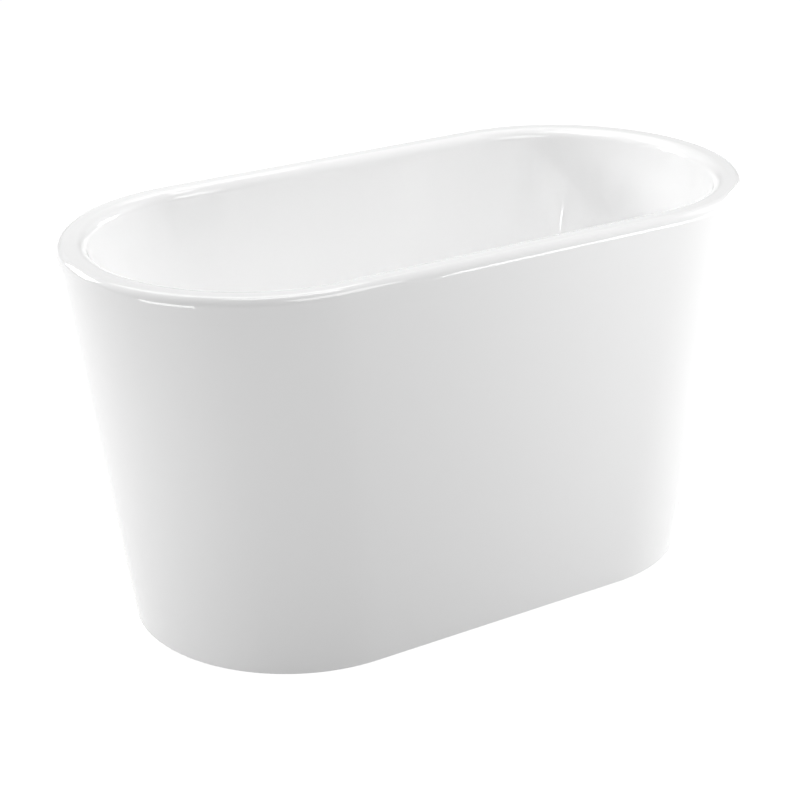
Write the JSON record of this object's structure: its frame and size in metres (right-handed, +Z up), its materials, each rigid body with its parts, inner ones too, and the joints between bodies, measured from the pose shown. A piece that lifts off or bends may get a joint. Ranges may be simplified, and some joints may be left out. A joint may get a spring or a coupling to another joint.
{
  "type": "sitz bath",
  "caption": "Compact free-standing bath, stadium-shaped in plan, with tapering walls, a rolled rim, a push-open plug, an overflow and screw feet under the skirt.",
  "frame": {"origin": "on the floor, under the middle of the bath", "axes": "+X along the bath, +Y across it towards the back, +Z up; the front, with the overflow, is at -Y"},
  "size_m": [1.2, 0.6, 0.65],
  "materials": {
    "acrylic": "polished white cast acrylic",
    "glass_fibre": "raw glass-fibre lay-up",
    "board": "pressed board sealed with resin",
    "block_wood": "sawn softwood",
    "zinc_steel": "zinc-plated steel",
    "fasteners": "bright zinc-plated steel",
    "spring_steel": "drawn stainless wire",
    "pad_plastic": "moulded black nylon",
    "rubber": "moulded rubber",
    "chrome": "polished chrome plate",
    "brass": "turned brass",
    "white_plastic": "moulded white polypropylene"
  },
  "bodies": {
    "bath": {"bar_screws": "fasteners", "base_board": "board", "basin_laminate": "glass_fibre", "block_screws": "fasteners", "bracket_bolts": "fasteners", "clicker_post": "brass", "cross_bar_left": "zinc_steel", "cross_bar_right": "zinc_steel", "inner_basin": "acrylic", "leg_bar_nuts": "fasteners", "leg_lock_nuts": "fasteners", "outer_skirt": "acrylic", "overflow_bottom_nut": "white_plastic", "overflow_bottom_seal": "rubber", "overflow_cover": "chrome", "overflow_elbow": "white_plastic", "overflow_gasket": "rubber", "overflow_pipe": "white_plastic", "overflow_screw": "chrome", "overflow_top_nut": "white_plastic", "overflow_top_seal": "rubber", "plug_spring": "spring_steel", "rim_seam_bead": "acrylic", "skirt_block_back_left": "block_wood", "skirt_block_back_right": "block_wood", "skirt_block_front_left": "block_wood", "skirt_block_front_right": "block_wood", "skirt_bracket_back_left": "zinc_steel", "skirt_bracket_back_right": "zinc_steel", "skirt_bracket_front_left": "zinc_steel", "skirt_bracket_front_right": "zinc_steel", "trap_nut": "white_plastic", "trap_pipe": "white_plastic", "trap_seal": "rubber", "waste_body": "white_plastic", "waste_flange": "chrome", "waste_gasket_lower": "rubber", "waste_gasket_upper": "rubber"},
    "plug": {"plug_sleeve": "brass", "plug_cap": "chrome", "plug_seal": "rubber"},
    "foot_front_left": {"foot_pad_front_left": "pad_plastic"},
    "stem_front_left": {"foot_stem_front_left": "fasteners"},
    "foot_front_right": {"foot_pad_front_right": "pad_plastic"},
    "stem_front_right": {"foot_stem_front_right": "fasteners"},
    "foot_back_left": {"foot_pad_back_left": "pad_plastic"},
    "stem_back_left": {"foot_stem_back_left": "fasteners"},
    "foot_back_right": {"foot_pad_back_right": "pad_plastic"},
    "stem_back_right": {"foot_stem_back_right": "fasteners"}
  },
  "joints": [
    {"name": "plug_push", "type": "slide", "parent": "bath", "child": "plug", "axis": [0, 0, -1], "range_m": [0, 0.009], "stiffness_N_per_m": 300, "springref_m": -0.005, "deforming": ["plug_spring"]},
    {"name": "foot_front_left_height", "type": "slide", "parent": "bath", "child": "foot_front_left", "axis": [0, 0, -1], "range_m": [-0.003, 0.015]},
    {"name": "stem_front_left_turn", "type": "hinge", "parent": "foot_front_left", "child": "stem_front_left", "pos_m": [-0.272, -0.182, 0.05], "axis": [0, 0, -1], "range_deg": [-617.2, 3085.8]},
    {"name": "foot_front_right_height", "type": "slide", "parent": "bath", "child": "foot_front_right", "axis": [0, 0, -1], "range_m": [-0.003, 0.015]},
    {"name": "stem_front_right_turn", "type": "hinge", "parent": "foot_front_right", "child": "stem_front_right", "pos_m": [0.272, -0.182, 0.05], "axis": [0, 0, -1], "range_deg": [-617.2, 3085.8]},
    {"name": "foot_back_left_height", "type": "slide", "parent": "bath", "child": "foot_back_left", "axis": [0, 0, -1], "range_m": [-0.003, 0.015]},
    {"name": "stem_back_left_turn", "type": "hinge", "parent": "foot_back_left", "child": "stem_back_left", "pos_m": [-0.272, 0.182, 0.05], "axis": [0, 0, -1], "range_deg": [-617.2, 3085.8]},
    {"name": "foot_back_right_height", "type": "slide", "parent": "bath", "child": "foot_back_right", "axis": [0, 0, -1], "range_m": [-0.003, 0.015]},
    {"name": "stem_back_right_turn", "type": "hinge", "parent": "foot_back_right", "child": "stem_back_right", "pos_m": [0.272, 0.182, 0.05], "axis": [0, 0, -1], "range_deg": [-617.2, 3085.8]}
  ],
  "couplings": [
    {"joint": "stem_front_left_turn", "follows": "foot_front_left_height", "rad_per_m": 3590.4},
    {"joint": "stem_front_right_turn", "follows": "foot_front_right_height", "rad_per_m": 3590.4},
    {"joint": "stem_back_left_turn", "follows": "foot_back_left_height", "rad_per_m": 3590.4},
    {"joint": "stem_back_right_turn", "follows": "foot_back_right_height", "rad_per_m": 3590.4}
  ]
}
